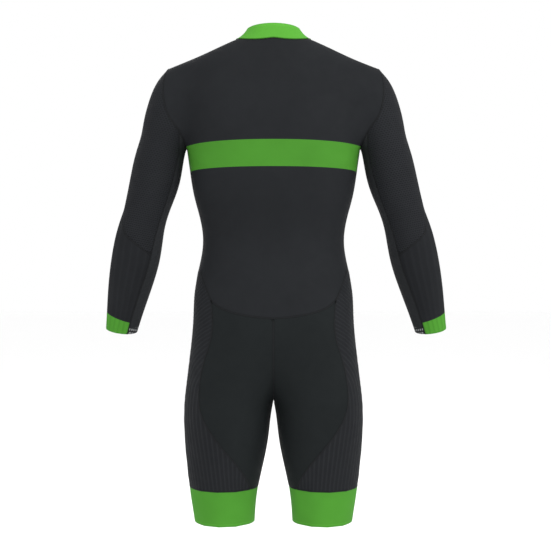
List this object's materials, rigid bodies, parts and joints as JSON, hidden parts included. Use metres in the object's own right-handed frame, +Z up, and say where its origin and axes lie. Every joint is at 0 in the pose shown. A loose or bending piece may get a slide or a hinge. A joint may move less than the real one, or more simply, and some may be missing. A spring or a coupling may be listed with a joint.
{
  "type": "time trial skinsuit",
  "caption": "Close-fitting one-piece racing suit for cycling, in its worn shape, with long sleeves, short legs, a low collar, leg grippers and a front zip.",
  "frame": {"origin": "middle of the neck opening, level with the seam of the collar at the back, where the wearer's shoulders carry the suit", "axes": "+Z up, -Y the way the wearer faces, +X to the wearer's left"},
  "size_m": [0.7123, 0.2461, 1.0051],
  "materials": {
    "dark_knit": "smooth dark stretch knit, matt, with a printed green band across the chest and back",
    "dimpled_knit": "dark stretch knit with staggered rows of small dimples",
    "ribbed_knit": "dark stretch knit with fine raised lines, printed green at the cuff",
    "mesh_knit": "light dark-grey mesh with small dots",
    "green_knit": "bright green stretch knit, matt",
    "zip_tape": "black woven tape",
    "zip_coil": "black plastic coil",
    "zip_metal": "black painted metal"
  },
  "bodies": {
    "suit": {"back_body": "dark_knit", "front_body_left": "dark_knit", "front_body_right": "dark_knit", "collar": "green_knit", "zip_tape_left": "zip_tape", "zip_tape_right": "zip_tape", "zip_chain": "zip_coil", "zip_slider": "zip_metal", "sleeve_upper_left": "dimpled_knit", "sleeve_upper_right": "dimpled_knit", "sleeve_forearm_left": "ribbed_knit", "sleeve_forearm_right": "ribbed_knit", "sleeve_strip_left": "mesh_knit", "sleeve_strip_right": "mesh_knit", "seat_left": "dark_knit", "seat_right": "dark_knit", "side_left": "ribbed_knit", "side_right": "ribbed_knit", "front_short_left": "dark_knit", "front_short_right": "dark_knit", "leg_band_left": "green_knit", "leg_band_right": "green_knit"},
    "pull_tab": {"zip_pull_tab": "zip_metal"}
  },
  "joints": [
    {"name": "pull_tab_hinge", "type": "hinge", "parent": "suit", "child": "pull_tab", "pos_m": [0, -0.06119, -0.03947], "axis": [-1, 0, 0], "range_deg": [0, 120]}
  ]
}
